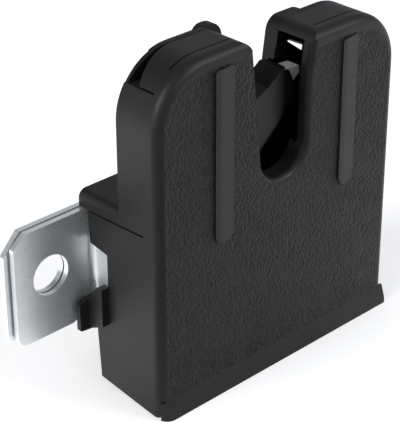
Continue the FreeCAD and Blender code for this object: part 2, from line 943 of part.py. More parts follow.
def claw_place(along, across):
    """Point of the claw, from distances along and across its lower prong."""
    turn = math.radians(claw_tilt)
    x = claw_x + along * math.cos(turn) - across * math.sin(turn)
    z = claw_z + along * math.sin(turn) + across * math.cos(turn)
    return x, z


def claw_corner(along, across, radius):
    x, z = claw_place(along, across)
    return (x, z, radius)


def claw_outline():
    """Both prongs of the claw with the mouth between them."""
    roof = prong_floor + mouth_width
    mouth_round = mouth_width / 2 - 0.1
    return [
        claw_corner(-6.0, -4.0, 3.0),
        (prong_end_x - 13.0, prong_end_z - 1.0, 3.0),
        (prong_end_x, prong_end_z, 0),
        (prong_side_x, prong_side_z, prong_side_round),
        (prong_tip_x, prong_tip_z, 0),
        (prong_top_x, prong_top_z, 0),
        claw_corner(prong_kink, prong_floor, 0),
        claw_corner(mouth_end, prong_floor, mouth_round),
        claw_corner(mouth_end, roof, mouth_round),
        claw_corner(hook_tip, roof, 1.0),
        claw_corner(hook_tip - 2.0, hook_across, 2.5),
        claw_corner(4.0, hook_across + 1.5, 6.0),
        claw_corner(-7.5, 7.0, 5.0),
    ]


def claw_lobe():
    """Sector on the hub whose end face the pawl catches."""
    sector = []
    for angle in (lobe_start, (lobe_start + lobe_end) / 2, lobe_end):
        turn = math.radians(angle)
        sector.append(point(claw_x + lobe_radius * math.cos(turn), core_front, claw_z + lobe_radius * math.sin(turn)))
    hub = point(claw_x, core_front, claw_z)
    rim = Part.Arc(sector[0], sector[1], sector[2]).toShape()
    wire = Part.Wire([Part.makeLine(hub, sector[0]), rim, Part.makeLine(sector[2], hub)])
    return prism(wire, claw_steel)


def claw_core():
    body = plate(claw_outline(), core_front, core_back)
    inner = claw_jacket_blank(0.8)
    keep = rod(claw_x, claw_z, claw_hub_radius + 4.0, core_front, core_back)
    core = body.common(inner).fuse(body.common(keep))
    core = core.fuse([rod(claw_x, claw_z, claw_hub_radius, core_front, core_back), claw_lobe(), claw_nose()])
    return core.removeSplitter().cut(rod(claw_x, claw_z, claw_pin_radius + running_fit, 0, 30))


def claw_nose():
    """Bare steel nose that stands out past the jacket at the end of the lower prong."""
    corners = [
        (prong_tip_x - 5.0, nose_z - 1.0, 0),
        (prong_tip_x, nose_z + 0.3, 0),
        (nose_x, nose_z, 0.3),
        (nose_x + 0.1, nose_z - 2.0, 0.3),
        (nose_x - 2.4, nose_z - nose_depth, 0.3),
        (nose_x - 2.2, needle_foot, 0.2),
        (nose_x - 3.0, needle_foot - 0.6, 0.2),
        (prong_tip_x - 2.0, needle_foot - 2.0, 0),
    ]
    return plate(corners, core_front, core_back)


def claw_jacket_blank(inset):
    """The prongs' outline moved inwards, for the steel inside the jacket."""
    wire = rounded_wire(claw_outline(), core_front)
    moved = wire.makeOffset2D(-inset, 0, False, False, False)
    return Part.Face(moved).extrude(point(0, claw_steel, 0))


def claw_jacket():
    """Moulded jacket over both prongs; the hub stays bare."""
    body = plate(claw_outline(), claw_front, claw_back)
    front_edges = []
    for edge in body.Edges:
        box = edge.BoundBox
        right_of_tip = box.XMax <= prong_side_x + 0.01 and box.XMin >= prong_end_x - 0.01
        if box.YMax < claw_front + 0.001 and right_of_tip and box.ZMax <= prong_tip_z + 0.01:
            front_edges.append(edge)
    body = body.makeFillet(claw_edge_round, front_edges)
    body = body.cut(rod(claw_x, claw_z, claw_hub_radius + 3.0, 0, 30))
    skirt = plate([
        (prong_tip_x - 3.0, nose_z, 0), (nose_x - 4.5, nose_z + 0.2, 0),
        (nose_x - 2.7, nose_z - nose_depth, 0), (nose_x - 2.5, needle_foot, 0),
        (prong_side_x - 3.0, needle_foot - 2.5, 0),
    ], skirt_front, core_front)
    return body.fuse(skirt).removeSplitter().cut(claw_core())


def pivot(x, z, radius, tail_radius, rear_radius, rear_end):
    """Shouldered rivet from the strap to the steel plate."""
    strap_back = strap_front + sheet
    piece = rod(x, z, radius, strap_back, web_front)
    return piece.fuse([
        rod(x, z, tail_radius, strap_front, strap_back),
        rod(x, z, tail_radius + 1.8, strap_front - rivet_head, strap_front),
        rod(x, z, rear_radius, web_front, rear_end),
    ])


def claw_pivot():
    rivet = pivot(claw_x, claw_z, claw_pin_radius, claw_pin_radius - 1.0, claw_pin_radius - 1.0, web_back)
    head = rod(claw_x, claw_z, claw_pin_radius + 1.2, web_back, web_back + 1.4)
    return rivet.fuse(head).removeSplitter()


def pawl_pivot():
    rivet = pivot(pawl_x, pawl_z, pawl_pin_radius, pawl_pin_radius - 1.0, lever_pin_radius, lever_back + 0.1)
    head = rod(pawl_x, pawl_z, lever_pin_radius + 1.5, lever_back + 0.1, lever_back + 0.8)
    return rivet.fuse(head).removeSplitter()


def torsion_spring(x, z, pin_radius, play, wire, leg_turn):
    """Close rings of wire round a pivot, with one leg that lies along Z."""
    radius = pin_radius + play
    front = strap_front + sheet + gap + wire / 2
    rings = []
    for i in range(spring_turns):
        rings.append(Part.makeTorus(radius, wire / 2, point(x, front + i * wire * spring_pitch, z), point(0, 1, 0)))
    leg = Part.makeCylinder(wire / 2 - spring_leg_slim, spring_leg, point(x + radius, front, z), point(0, 0, leg_turn))
    return rings[0].fuse(rings[1:] + [leg])


def claw_spring():
    return torsion_spring(claw_x, claw_z, claw_pin_radius, claw_spring_play, claw_spring_wire, 1)


def pawl_spring():
    return torsion_spring(pawl_x, pawl_z, pawl_pin_radius, pawl_spring_play, pawl_spring_wire, -1)


def pawl():
    """Pawl: a nose that rides on the claw's lobe and a tail that the lever lifts."""
    turn = math.radians(pawl_nose_angle)
    reach = lobe_radius + gap
    nose_x = claw_x + (reach + pawl_nose_width / 2) * math.cos(turn)
    nose_z = claw_z + (reach + pawl_nose_width / 2) * math.sin(turn)
    arm = slab(pawl_x, pawl_z, nose_x, nose_z, pawl_hub_radius - 2.0, pawl_neck / 2, pawl_front, pawl_back)
    nose = rod(nose_x, nose_z, pawl_nose_width / 2, pawl_front, pawl_back)
    tail = slab(pawl_x, pawl_z, pawl_tail_x, pawl_tail_z, pawl_tail_width / 2, pawl_tail_width / 2,
                pawl_front, pawl_back)
    tip = rod(pawl_tail_x, pawl_tail_z, pawl_tail_width / 2, pawl_front, pawl_back)
    body = rod(pawl_x, pawl_z, pawl_hub_radius, pawl_front, pawl_back).fuse([arm, nose, tail, tip])
    return body.removeSplitter().cut(rod(pawl_x, pawl_z, pawl_pin_radius + running_fit, 0, 30))


def follower_place():
    x = wheel_x
    z = wheel_z + cam_radius + follower_gap + lever_follower_radius
    return x, z


def release_lever():
    """Flat lever: a follower over the cam, a finger under the pawl and a tab for a hand release."""
    follower_x, follower_z = follower_place()
    arm = slab(pawl_x, pawl_z, follower_x, follower_z, lever_arm_width / 2, lever_arm_width / 2,
               lever_front, lever_back)
    end = rod(follower_x, follower_z, lever_arm_width / 2, lever_front, lever_back)
    pin_back = wheel_mid - wheel_width / 2 - 0.5
    pin = rod(follower_x, follower_z, lever_follower_radius, lever_front, pin_back)
    hub = rod(pawl_x, pawl_z, lever_hub_radius, lever_front, lever_back)
    tab = slab(pawl_x, pawl_z, lever_tab_x, lever_tab_z, lever_tab_half, lever_tab_half, lever_front, lever_back)
    tab_end = rod(lever_tab_x, lever_tab_z, lever_tab_half, lever_front, lever_back)
    height = finger_height()
    finger = block(finger_x - finger_width / 2, finger_x + finger_width / 2, pawl_front, lever_back,
                   height - finger_thick / 2, height + finger_thick / 2)
    root = block(finger_x - finger_width / 2, finger_x + finger_width / 2, lever_front, lever_back,
                 height - finger_thick / 2, height + 3.0)
    body = hub.fuse([arm, end, pin, tab, tab_end, finger, root]).removeSplitter()
    body = body.cut(rod(lever_tab_x, lever_tab_z, lever_tab_hole, 0, 40))
    return body.cut(rod(pawl_x, pawl_z, lever_pin_radius + running_fit, 0, 40))


def frame_screw_places():
    return [(-28.0, 30.0), (29.0, 6.0), (29.5, 32.5)]


def lid_screw_places():
    right = drive_half_width - lid_screw_inset
    high = drive_height - lid_screw_inset
    return [(-right, high), (right, high), (right, lid_screw_low), (lid_screw_middle, high)]


def plate_screw_places():
    middle = (drive_half_width + flange_half - sheet) / 2
    return [(-middle, 27.0), (middle, 27.0), (-middle, 40.0), (middle, 40.0)]


def drive_prism(inset, front, back):
    """Slab with the drive's outline, which steps in beside the motor, moved inwards by an inset."""
    wide = drive_half_width
    wire = rounded_wire([
        (drive_step_x, 0, drive_corner), (drive_step_x, drive_step_low, 2.0),
        (-wide, drive_step_high, 2.0), (-wide, drive_height, drive_corner),
        (wide, drive_height, drive_corner), (wide, 0, drive_corner),
    ], front)
    if inset > 0:
        wire = wire.makeOffset2D(-inset)
    return prism(wire, back - front)


def drive_housing():
    """Moulded tray for the motor and the wheel, seated on the steel plate."""
    tray = drive_prism(0, drive_front, drive_back)
    tray = tray.cut(drive_prism(drive_wall, drive_front + drive_floor, drive_back + 1))
    tray = tray.fuse(drive_bosses())
    follower_x, follower_z = follower_place()
    slot = block(follower_x - 3.5, follower_x + 3.5, 0, drive_front + drive_floor + 1,
                 follower_z - 3.0, follower_z + 6.5)
    tray = tray.cut(slot)
    tray = tray.cut(rod(wheel_x, wheel_z, wheel_shaft_radius, drive_front - 1, drive_back))
    for x, z in frame_screw_places():
        tray = tray.cut(rod(x, z, screw_radius, 0, drive_front + drive_floor + 3.0))
    for x, z in lid_screw_places():
        tray = tray.cut(rod(x, z, screw_radius, drive_back - 8.0, drive_back + 1))
    for x, z in plate_screw_places():
        tray = tray.cut(rod(x, z, plate_screw_radius, back_plate_front - 6.0, back_plate_front + 1))
    return tray


def drive_bosses():
    boss_end = wheel_mid - wheel_width / 2 - cam_width - gap
    made = [rod(wheel_x, wheel_z, wheel_shaft_radius + 1.6, drive_front, boss_end)]
    for x, z in frame_screw_places():
        made.append(rod(x, z, boss_radius, web_back, drive_front + drive_floor + 3.0))
    for x, z in lid_screw_places():
        made.append(rod(x, z, boss_radius, drive_front + drive_floor - 0.5, drive_back))
    for x, z in plate_screw_places():
        side = 1 if x > 0 else -1
        near = side * (drive_half_width - 0.5)
        far = side * (flange_half - sheet - gap)
        made.append(block(min(near, far), max(near, far), back_plate_front - 8.0, back_plate_front, z - 3.0, z + 3.0))
    bearing = block(bearing_left, drive_half_width - drive_wall / 2, motor_y - bearing_half, motor_y + bearing_half,
                    drive_wall / 2, worm_z + bearing_half)
    bore = rod_along_x(motor_y, worm_z, motor_shaft_radius + running_fit, bearing_left - past, bearing_left + bearing_hold)
    made.append(bearing.cut(bore))
    for x in (motor_back + saddle_inset, motor_front - saddle_inset):
        made.append(motor_saddle(x))
    return made


def motor_saddle(x):
    """Cradle rib under the motor."""
    rib = block(x - saddle_half, x + saddle_half, drive_front + drive_floor / 2, drive_back - 1.0, drive_wall / 2, worm_z)
    room = motor_blank(motor_radius + running_fit, motor_flat + running_fit, x - past, x + past)
    return rib.cut(room)


def motor_blank(radius, flat, left, right):
    """Round can with two flats."""
    can = rod_along_x(motor_y, worm_z, radius, left, right)
    return can.common(block(left, right, motor_y - flat, motor_y + flat, 0, 60))


def motor_can():
    can = motor_blank(motor_radius, motor_flat, motor_back, motor_front)
    nose_end = motor_front + motor_nose_length
    can = can.fuse(rod_along_x(motor_y, worm_z, motor_nose_radius, motor_front, nose_end))
    return can.cut(rod_along_x(motor_y, worm_z, motor_shaft_radius + running_fit, motor_back, nose_end + past))


def motor_cap():
    left = motor_back - motor_cap_length
    cap = motor_blank(motor_radius - motor_cap_step, motor_flat - motor_cap_step, left, motor_back)
    bore_left = left + motor_cap_floor
    return cap.cut(rod_along_x(motor_y, worm_z, motor_shaft_radius + running_fit, bore_left, motor_back + past))


def motor_shaft():
    left = motor_back - motor_cap_length + motor_cap_floor + seat
    return rod_along_x(motor_y, worm_z, motor_shaft_radius, left, bearing_left + bearing_hold - gap)


def worm_profile_radius():
    return worm_pitch_radius + tooth_module


def worm():
    """Single-start worm: a core with a helical thread swept round it."""
    lead = math.pi * tooth_module
    core_radius = worm_pitch_radius - 1.1 * tooth_module
    start = wheel_x - worm_length / 2
    core = Part.makeCylinder(core_radius, worm_length, point(0, 0, 0), point(0, 0, 1))
    margin = 2.6
    helix = Part.makeHelix(lead, worm_length - 2 * margin, core_radius)
    root_half = lead / 4 + tooth_module * 0.4 - worm_backlash / 2
    tip_half = lead / 4 - tooth_module * 0.36 - worm_backlash / 2
    outer = worm_profile_radius() - 0.05
    inner = core_radius - 0.3
    section = Part.makePolygon([
        point(inner, 0, -root_half), point(outer, 0, -tip_half),
        point(outer, 0, tip_half), point(inner, 0, root_half), point(inner, 0, -root_half),
    ])
    thread = Part.Wire(helix).makePipeShell([section], True, True)
    thread.translate(point(0, 0, margin))
    body = core.fuse(thread)
    body.rotate(point(0, 0, 0), point(0, 1, 0), 90)
    body.rotate(point(0, 0, 0), point(1, 0, 0), worm_phase)
    body.translate(point(start, motor_y, worm_z))
    return body.cut(rod_along_x(motor_y, worm_z, motor_shaft_radius, start - 1, start + worm_length + 1))


def wheel_section(twist, y):
    """Gear outline in the plane y, turned by a twist in degrees."""
    outer = wheel_radius + tooth_module * 0.8
    root = wheel_radius - tooth_module * 1.3
    pitch = 360.0 / wheel_teeth
    points = []
    for i in range(wheel_teeth):
        middle = -90.0 + twist + pitch * i
        sides = (
            (root, -tooth_root_share), (outer, -tooth_tip_share), (outer, tooth_tip_share), (root, tooth_root_share),
        )
        for radius, share in sides:
            turn = math.radians(middle + share * pitch)
            points.append(point(wheel_x + radius * math.cos(turn), y, wheel_z + radius * math.sin(turn)))
    return Part.makePolygon(points + [points[0]])


def worm_wheel():
    """Moulded wheel with slanted teeth and the spiral release cam on its front."""
    lead_angle = math.atan(tooth_module / (2 * worm_pitch_radius))
    twist = math.degrees(math.tan(lead_angle) * wheel_width / 2 / wheel_radius)
    front = wheel_mid - wheel_width / 2
    back = wheel_mid + wheel_width / 2
    teeth = Part.makeLoft([wheel_section(twist, front), wheel_section(-twist, back)], True, True)
    wheel = teeth.fuse(cam_prism(front - cam_width, front))
    hub = rod(wheel_x, wheel_z, wheel_shaft_radius + 2.0, front - cam_width, back + 1.0)
    wheel = wheel.fuse(hub)
    for i in range(6):
        turn = math.radians(30 + 60 * i)
        x = wheel_x + 8.6 * math.cos(turn)
        z = wheel_z + 8.6 * math.sin(turn)
        wheel = wheel.cut(rod(x, z, 1.5, front + 1.5, back + 1))
    return wheel.cut(rod(wheel_x, wheel_z, wheel_shaft_radius + running_fit, front - cam_width - 1, back + 2))


def cam_prism(front, back):
    """Spiral cam: its radius grows evenly over the working turn, then falls back."""
    steps = 12
    points = []
    for i in range(steps + 1):
        turn = math.radians(90.0 + cam_turn * i / steps)
        radius = cam_radius + cam_rise * i / steps
        points.append(point(wheel_x + radius * math.cos(turn), front, wheel_z + radius * math.sin(turn)))
    curve = Part.BSplineCurve()
    curve.interpolate(points)
    rise = curve.toShape()
    last = math.radians(90.0 + cam_turn + 40.0)
    low = point(wheel_x + cam_radius * math.cos(last), front, wheel_z + cam_radius * math.sin(last))
    middle_turn = math.radians(90.0 + (cam_turn + 40.0 + 360.0) / 2)
    middle = point(wheel_x + cam_radius * math.cos(middle_turn), front, wheel_z + cam_radius * math.sin(middle_turn))
    fall = Part.makeLine(points[-1], low)
    base = Part.Arc(low, middle, points[0]).toShape()
    return prism(Part.Wire([rise, fall, base]), back - front)


def wheel_shaft():
    return rod(wheel_x, wheel_z, wheel_shaft_radius, drive_front + 0.2, drive_back + 0.8)


def drive_cover():
    """Lid of the drive housing with the connector socket."""
    lid = drive_prism(0, drive_back, drive_back + drive_lid)
    inner = drive_prism(drive_wall + gap, drive_back - drive_spigot, drive_back)
    inner = inner.cut(drive_prism(drive_wall + gap + 1.4, drive_back - 2, drive_back + 1))
    for x, z in lid_screw_places():
        inner = inner.cut(rod(x, z, boss_radius + gap, 0, 60))
    boss = rod(wheel_x, wheel_z, wheel_shaft_radius + 1.6, wheel_mid + wheel_width / 2 + 1.3, drive_back + 0.5)
    lid = lid.fuse([inner, boss, socket_shell()])
    lid = lid.cut(rod(wheel_x, wheel_z, wheel_shaft_radius, 0, drive_back + 0.8))
    for x, z in lid_screw_places():
        lid = lid.cut(rod(x, z, screw_radius + 0.1, 0, 60))
    for x in pin_columns():
        lid = lid.cut(block(x - pin_side / 2, x + pin_side / 2, 0, drive_back + drive_lid + 1,
                            socket_z - pin_side / 2, socket_z + pin_side / 2))
    return lid


def socket_shell():
    back = drive_back + drive_lid
    outer = plate([
        (socket_x - socket_half_width, socket_z - socket_half_height, 1.5),
        (socket_x - socket_half_width, socket_z + socket_half_height, 1.5),
        (socket_x + socket_half_width, socket_z + socket_half_height, 1.5),
        (socket_x + socket_half_width, socket_z - socket_half_height, 1.5),
    ], back - 0.5, back + socket_depth)
    room_x = socket_half_width - socket_wall
    room_z = socket_half_height - socket_wall
    room = block(socket_x - room_x, socket_x + room_x, back, back + socket_depth + 1,
                 socket_z - room_z, socket_z + room_z)
    latch = block(socket_x - 2.0, socket_x + 2.0, back + 3.0, back + 5.0,
                  socket_z + socket_half_height - 0.2, socket_z + socket_half_height + 1.2)
    return outer.cut(room).fuse(latch)


def pin_columns():
    return [socket_x - pin_pitch, socket_x, socket_x + pin_pitch]


def connector_pins():
    pins = []
    for x in pin_columns():
        pins.append(block(x - pin_side / 2, x + pin_side / 2, drive_back - 1.0, drive_back + drive_lid + 6.0,
                          socket_z - pin_side / 2, socket_z + pin_side / 2))
    return Part.makeCompound(pins)


def contact_strips():
    """Two brass strips from the motor's cap along the lid to the connector pins."""
    back = drive_back - 1.0
    front = back - strip_thick
    foot_z = worm_z + motor_radius + gap
    legs = [motor_back - strip_leg, motor_back - 2 * strip_leg - gap]
    levels = [socket_z, socket_z + strip_width + gap]
    strips = []
    for i in range(2):
        left = legs[i]
        pin_x = pin_columns()[i]
        top = levels[i] + strip_width / 2
        foot = block(left, left + strip_leg, motor_y, back, foot_z, foot_z + strip_thick)
        rise = block(left, left + strip_leg, front, back, foot_z, top)
        run = block(left, pin_x + pin_side, front, back, top - strip_width, top)
        drop = block(pin_x - pin_side, pin_x + pin_side, front, back, socket_z - strip_width / 2, top)
        strips.append(rise.fuse([foot, run, drop]).removeSplitter())
    return Part.makeCompound(strips)


def switch_body():
    left = switch_x - switch_width / 2
    body = block(left, left + switch_width, web_front - switch_depth, web_front, switch_top - switch_height, switch_top)
    guide = block(switch_x - plunger_width / 2 - 0.1, switch_x + plunger_width / 2 + 0.1,
                  web_front - switch_depth / 2 - 1.1, web_front - switch_depth / 2 + 1.1,
                  switch_top - 3.0, switch_top + 1)
    return body.cut(guide)


def switch_plunger():
    return block(switch_x - plunger_width / 2, switch_x + plunger_width / 2,
                 web_front - switch_depth / 2 - 1.0, web_front - switch_depth / 2 + 1.0,
                 switch_top - 3.0 + plunger_travel + 0.3, switch_top + plunger_proud)


def screws(places, head_front, head_back, tip, radius, head_radius):
    """Group of like screws along Y, with the heads between two depths."""
    made = []
    for x, z in places:
        head = rod(x, z, head_radius, head_front, head_back)
        low = min(tip, head_front)
        high = max(tip, head_back)
        made.append(head.fuse(rod(x, z, radius, low, high)).removeSplitter())
    return Part.makeCompound(made)


def frame_screws():
    head_front = web_front - screw_head_height
    return screws(frame_screw_places(), head_front, web_front, web_back + 6.0, screw_radius, screw_head_radius)


def plate_screws():
    head_back = back_plate_back + screw_head_height
    tip = back_plate_front - 5.0
    return screws(plate_screw_places(), back_plate_back, head_back, tip, plate_screw_radius, plate_screw_head)


def lid_screws():
    lid_back = drive_back + drive_lid
    head_back = lid_back + screw_head_height
    return screws(lid_screw_places(), lid_back, head_back, drive_back - 7.0, screw_radius, screw_head_radius)


pieces = {
    "front_cover": front_cover,
    "latch_housing": latch_housing,
    "slot_buffer": slot_buffer,
    "frame_plate": frame_plate,
    "back_plate": back_plate,
    "front_strap": front_strap,
    "claw_core": claw_core,
    "claw_jacket": claw_jacket,
    "claw_pivot": claw_pivot,
    "claw_spring": claw_spring,
    "pawl": pawl,
    "pawl_pivot": pawl_pivot,
    "pawl_spring": pawl_spring,
    "release_lever": release_lever,
    "drive_housing": drive_housing,
    "drive_cover": drive_cover,
    "motor_can": motor_can,
    "motor_cap": motor_cap,
    "motor_shaft": motor_shaft,
    "worm": worm,
    "worm_wheel": worm_wheel,
    "wheel_shaft": wheel_shaft,
    "contact_strips": contact_strips,
    "connector_pins": connector_pins,
    "switch_body": switch_body,
    "switch_plunger": switch_plunger,
    "frame_screws": frame_screws,
    "plate_screws": plate_screws,
    "lid_screws": lid_screws,
}

os.makedirs("parts", exist_ok=True)
for name, make in pieces.items():
    shape = make()
    shape.translate(point(0, -frame_middle, 0))
    shape.exportStep(os.path.join("parts", name + ".step"))
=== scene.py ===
import bpy
import math
from mathutils import Matrix, Vector


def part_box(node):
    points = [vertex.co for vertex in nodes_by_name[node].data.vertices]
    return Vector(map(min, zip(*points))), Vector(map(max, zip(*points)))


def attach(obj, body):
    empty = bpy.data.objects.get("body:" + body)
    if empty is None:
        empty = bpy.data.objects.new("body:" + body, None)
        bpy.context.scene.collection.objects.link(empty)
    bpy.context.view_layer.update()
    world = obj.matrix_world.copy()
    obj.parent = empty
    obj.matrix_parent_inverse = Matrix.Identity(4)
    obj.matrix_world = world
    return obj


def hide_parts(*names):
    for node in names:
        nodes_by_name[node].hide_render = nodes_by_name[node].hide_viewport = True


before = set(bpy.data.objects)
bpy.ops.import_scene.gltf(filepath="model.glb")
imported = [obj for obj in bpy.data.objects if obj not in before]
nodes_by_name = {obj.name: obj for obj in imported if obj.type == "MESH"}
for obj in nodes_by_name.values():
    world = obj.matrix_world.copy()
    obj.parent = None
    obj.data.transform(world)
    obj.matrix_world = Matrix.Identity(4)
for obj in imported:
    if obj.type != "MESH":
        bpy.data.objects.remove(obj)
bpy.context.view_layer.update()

bpy.ops.object.select_all(action="DESELECT")


# Camera
# The lock is seen from the front left and above, 42.5 cm from its middle, with a long lens.
camera_data = bpy.data.cameras.new("camera")
camera_data.sensor_fit = "VERTICAL"
camera_data.sensor_height = 36.0
camera_data.lens = 136.77
camera_data.clip_start = 0.01
camera = bpy.data.objects.new("camera", camera_data)
bpy.context.scene.collection.objects.link(camera)
camera_place = (-0.26420, -0.26922, 0.24344)
camera_turn = math.radians(-43.65)
camera_tilt = math.radians(90.0 - 28.93)
camera_roll = math.radians(-0.19)
camera.matrix_world = (
    Matrix.Translation(camera_place)
    @ Matrix.Rotation(camera_turn, 4, "Z")
    @ Matrix.Rotation(camera_tilt, 4, "X")
    @ Matrix.Rotation(camera_roll, 4, "Z")
)
bpy.context.scene.camera = camera
bpy.context.scene.view_settings.view_transform = "Standard"


# Studio: a white table, two soft boxes and a dim room
# The table is matt white. In reflections it is brighter to the left, to the right and up to the front of
#  the lock, where it glows as a painted reflection, and it is darker further out in front, as a painted
#  shadow.
table_size = 8.0
table_drop = 0.0001
table_cells = 12
bpy.ops.mesh.primitive_grid_add(
    x_subdivisions=table_cells, y_subdivisions=table_cells, size=table_size, location=(0, 0, -table_drop))
table = bpy.context.active_object
table.name = "table"
bpy.ops.object.transform_apply(location=True, rotation=True, scale=True)
table_paint = bpy.data.materials.new("table_paint")
table_paint.use_nodes = True
table_nodes = table_paint.node_tree.nodes
table_links = table_paint.node_tree.links
table_shader = table_nodes["Principled BSDF"]
table_shader.inputs["Roughness"].default_value = 0.9
table_shader.inputs["Specular IOR Level"].default_value = 0.1


def table_maths(operation, first, second):
    node = table_nodes.new("ShaderNodeMath")
    node.operation = operation
    for socket, value in zip(node.inputs, (first, second)):
        if isinstance(value, (int, float)):
            socket.default_value = value
        else:
            table_links.new(value, socket)
    return node.outputs[0]


def table_part(direction, low, high, by_distance=False):
    """Nought to one over the table, by its bearing from the lock or by its distance along a direction."""
    spot = table_nodes.new("ShaderNodeTexCoord").outputs["Object"]
    way = table_nodes.new("ShaderNodeVectorMath")
    way.operation = "NORMALIZE"
    table_links.new(spot, way.inputs[0])
    along = table_nodes.new("ShaderNodeVectorMath")
    along.operation = "DOT_PRODUCT"
    table_links.new(spot if by_distance else way.outputs[0], along.inputs[0])
    along.inputs[1].default_value = direction
    part = table_nodes.new("ShaderNodeMapRange")
    part.interpolation_type = "SMOOTHSTEP"
    table_links.new(along.outputs["Value"], part.inputs["Value"])
    part.inputs["From Min"].default_value = low
    part.inputs["From Max"].default_value = high
    return part.outputs["Result"]


to_camera, to_left, to_right = (-0.69, -0.72, 0.0), (-0.72, 0.69, 0.0), (0.90, -0.43, 0.0)
left_painted_glow, right_painted_glow, near_painted_glow, seen_glow = 0.6, 0.45, 0.18, 0.36
table_path = table_nodes.new("ShaderNodeLightPath")
# Painted shadow: for reflected rays only, the table turns grey further out in front of the lock.
painted_shadow_area = table_part(to_camera, low=0.045, high=0.085, by_distance=True)
table_painted_shadow = table_maths("MULTIPLY", painted_shadow_area, table_path.outputs["Is Glossy Ray"])
table_colour = table_nodes.new("ShaderNodeMix")
table_colour.data_type = "RGBA"
table_links.new(table_painted_shadow, table_colour.inputs["Factor"])
table_colour.inputs[6].default_value = (0.86, 0.86, 0.87, 1)
table_colour.inputs[7].default_value = (0.40, 0.40, 0.41, 1)
table_links.new(table_colour.outputs[2], table_shader.inputs["Base Color"])
# Painted reflection: for reflected rays only, the table glows to the left, to the right and close in front
# of the lock.
table_left = table_maths("MULTIPLY", table_part(to_left, low=0.2, high=0.9), left_painted_glow)
table_right = table_maths("MULTIPLY", table_part(to_right, low=0.8, high=0.98), right_painted_glow)
table_close = table_part(to_camera, low=0.075, high=0.035, by_distance=True)
table_near = table_maths("MULTIPLY", table_close, near_painted_glow)
table_bright = table_maths("ADD", table_maths("ADD", table_left, table_right), table_near)
table_painted_reflection = table_maths("MULTIPLY", table_bright, table_path.outputs["Is Glossy Ray"])
table_seen = table_maths("MULTIPLY", table_path.outputs["Is Camera Ray"], seen_glow)
table_glow = table_nodes.new("ShaderNodeEmission")
table_links.new(table_maths("ADD", table_seen, table_painted_reflection), table_glow.inputs["Strength"])
table_sum = table_nodes.new("ShaderNodeAddShader")
table_links.new(table_shader.outputs[0], table_sum.inputs[0])
table_links.new(table_glow.outputs[0], table_sum.inputs[1])
table_links.new(table_sum.outputs[0], table_nodes["Material Output"].inputs["Surface"])
table.data.materials.append(table_paint)

dim_side = (-0.55, 0.60, 0.58)
room_level, dim_level = 0.46, 0.10
room = bpy.data.worlds.new("room")
bpy.context.scene.world = room
room.use_nodes = True
room_nodes = room.node_tree.nodes
room_links = room.node_tree.links
room_light = room_nodes["Background"]
room_light.inputs["Color"].default_value = (0.93, 0.96, 1.0, 1)
room_way = room_nodes.new("ShaderNodeTexCoord").outputs["Generated"]
room_along = room_nodes.new("ShaderNodeVectorMath")
room_along.operation = "DOT_PRODUCT"
room_along.inputs[1].default_value = dim_side
room_links.new(room_way, room_along.inputs[0])
room_shade = room_nodes.new("ShaderNodeMapRange")
room_shade.interpolation_type = "SMOOTHSTEP"
room_links.new(room_along.outputs["Value"], room_shade.inputs["Value"])
room_shade.inputs["From Min"].default_value = 0.45
room_shade.inputs["From Max"].default_value = 0.92
room_shade.inputs["To Min"].default_value = room_level
room_shade.inputs["To Max"].default_value = dim_level
room_links.new(room_shade.outputs["Result"], room_light.inputs["Strength"])
room_white = room_nodes.new("ShaderNodeBackground")
room_white.inputs["Color"].default_value = (1, 1, 1, 1)
room_white.inputs["Strength"].default_value = 1.0
room_path = room_nodes.new("ShaderNodeLightPath")
room_mix = room_nodes.new("ShaderNodeMixShader")
room_links.new(room_path.outputs["Is Camera Ray"], room_mix.inputs["Fac"])
room_links.new(room_light.outputs[0], room_mix.inputs[1])
room_links.new(room_white.outputs[0], room_mix.inputs[2])
room_links.new(room_mix.outputs[0], room_nodes["World Output"].inputs["Surface"])


lock_middle = Vector((0, 0, 0.045))


def soft_box(name, place, size, watts, colour):
    """A rectangular lamp aimed at the middle of the lock."""
    lamp_data = bpy.data.lights.new(name, "AREA")
    lamp_data.shape = "RECTANGLE"
    lamp_data.size = size[0]
    lamp_data.size_y = size[1]
    lamp_data.energy = watts
    lamp_data.color = colour
    lamp = bpy.data.objects.new(name, lamp_data)
    bpy.context.scene.collection.objects.link(lamp)
    aim = lock_middle - Vector(place)
    lamp.matrix_world = Matrix.Translation(place) @ aim.to_track_quat("-Z", "Y").to_matrix().to_4x4()


soft_box("left_box", place=(-1.25, 0.15, 0.75), size=(0.9, 0.9), watts=18.0, colour=(1.0, 0.99, 0.98))
soft_box("right_box", place=(0.75, -1.15, 0.8), size=(0.8, 0.8), watts=12.0, colour=(0.98, 0.99, 1.0))


# Front cover
# One injection moulding in black polypropylene. Its front has a fine pebbled grain from the etched mould,
# bounded by a smooth rim; the ribs, the lip and the sides are satin.
def new_finish(name, colour, roughness, metallic=0.0, specular=0.5):
    material = bpy.data.materials.new(name)
    material.use_nodes = True
    shader = material.node_tree.nodes["Principled BSDF"]
    shader.inputs["Base Color"].default_value = (*colour, 1)
    shader.inputs["Roughness"].default_value = roughness
    shader.inputs["Metallic"].default_value = metallic
    shader.inputs["Specular IOR Level"].default_value = specular
    return material, material.node_tree.nodes, material.node_tree.links, shader


def maths(nodes, links, operation, first, second):
    node = nodes.new("ShaderNodeMath")
    node.operation = operation
    for socket, value in zip(node.inputs, (first, second)):
        if isinstance(value, (int, float)):
            socket.default_value = value
        else:
            links.new(value, socket)
    return node.outputs[0]


def fade(nodes, links, value, low, high, to_low=0.0, to_high=1.0):
    node = nodes.new("ShaderNodeMapRange")
    node.interpolation_type = "SMOOTHSTEP"
    links.new(value, node.inputs["Value"])
    node.inputs["From Min"].default_value = low
    node.inputs["From Max"].default_value = high
    node.inputs["To Min"].default_value = to_low
    node.inputs["To Max"].default_value = to_high
    return node.outputs["Result"]


